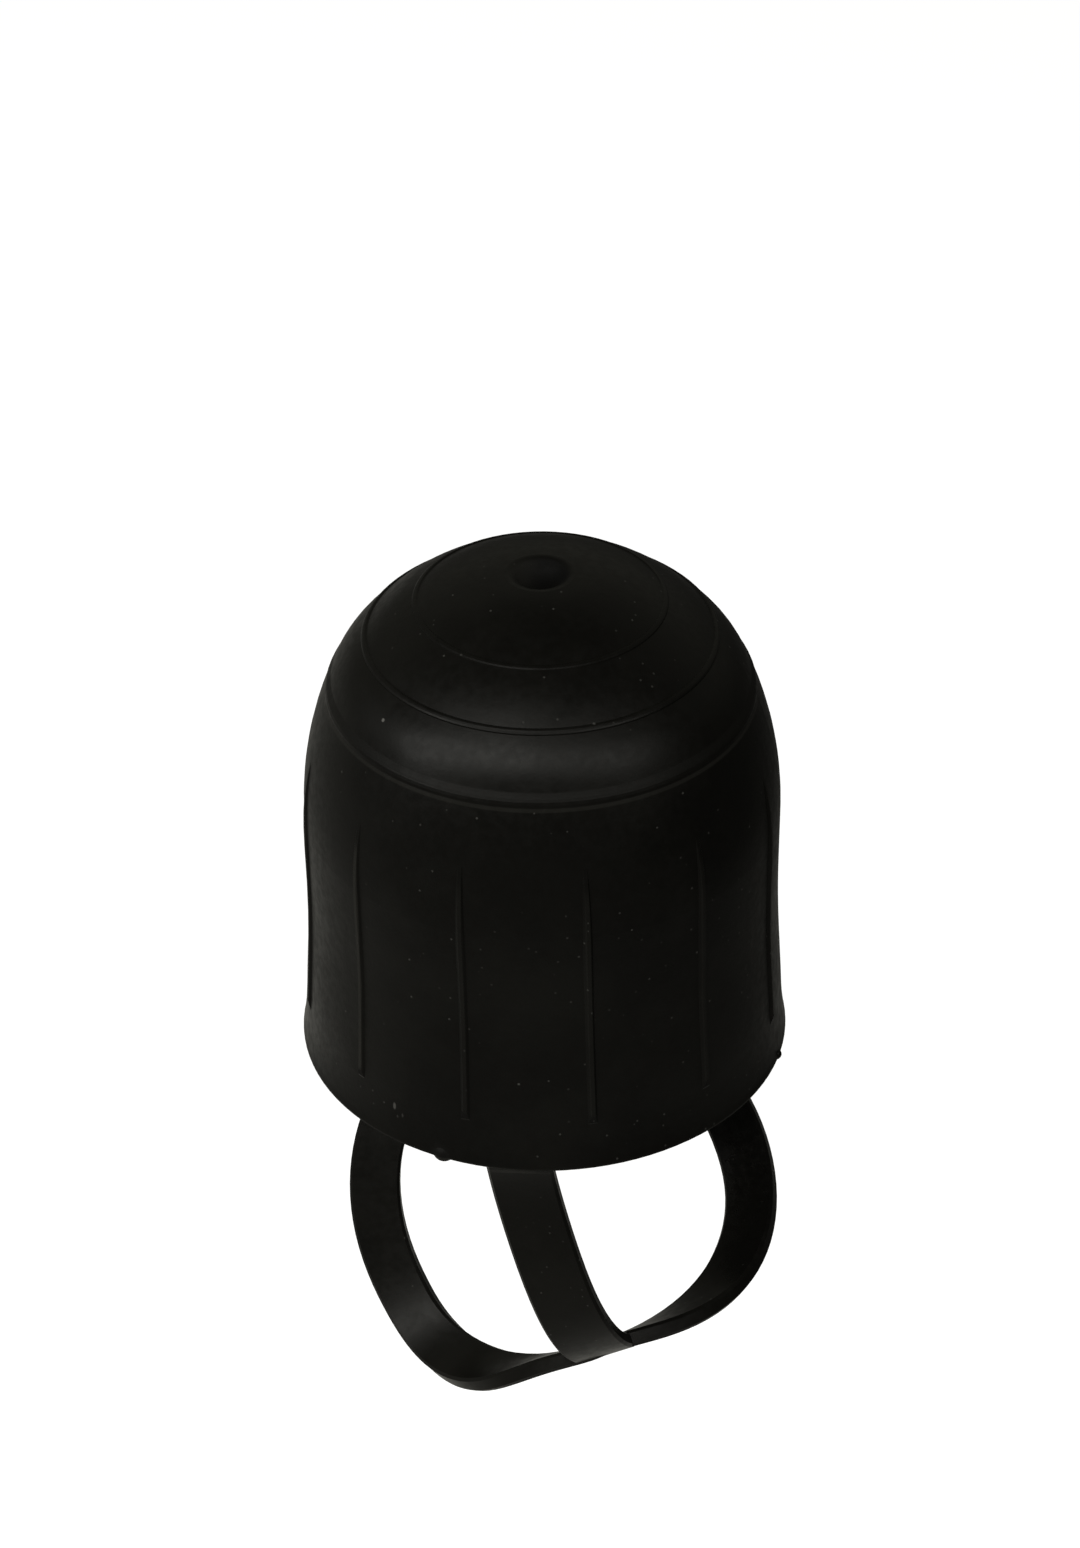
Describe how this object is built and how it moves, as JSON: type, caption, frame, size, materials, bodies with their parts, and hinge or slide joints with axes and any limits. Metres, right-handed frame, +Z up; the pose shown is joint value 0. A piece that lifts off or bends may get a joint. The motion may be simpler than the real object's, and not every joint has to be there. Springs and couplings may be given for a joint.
{
  "type": "tow ball cover",
  "caption": "Moulded rubber tow ball cover: domed cap with stepped tiers, upright grip ribs, a flared rim and a strap that folds under into a flat tether ring.",
  "frame": {"origin": "centre of the socket's mouth, in the plane of the rim's lower edge", "axes": "+Z up along the socket's axis to the crown, -Y towards the side of the rim where the tether strap leaves"},
  "size_m": [0.0682, 0.0682, 0.1289],
  "materials": {
    "black_rubber": "semi-matte moulded black rubber, lightly dusty"
  },
  "bodies": {
    "root": {"ball_cover": "black_rubber"}
  },
  "joints": []
}
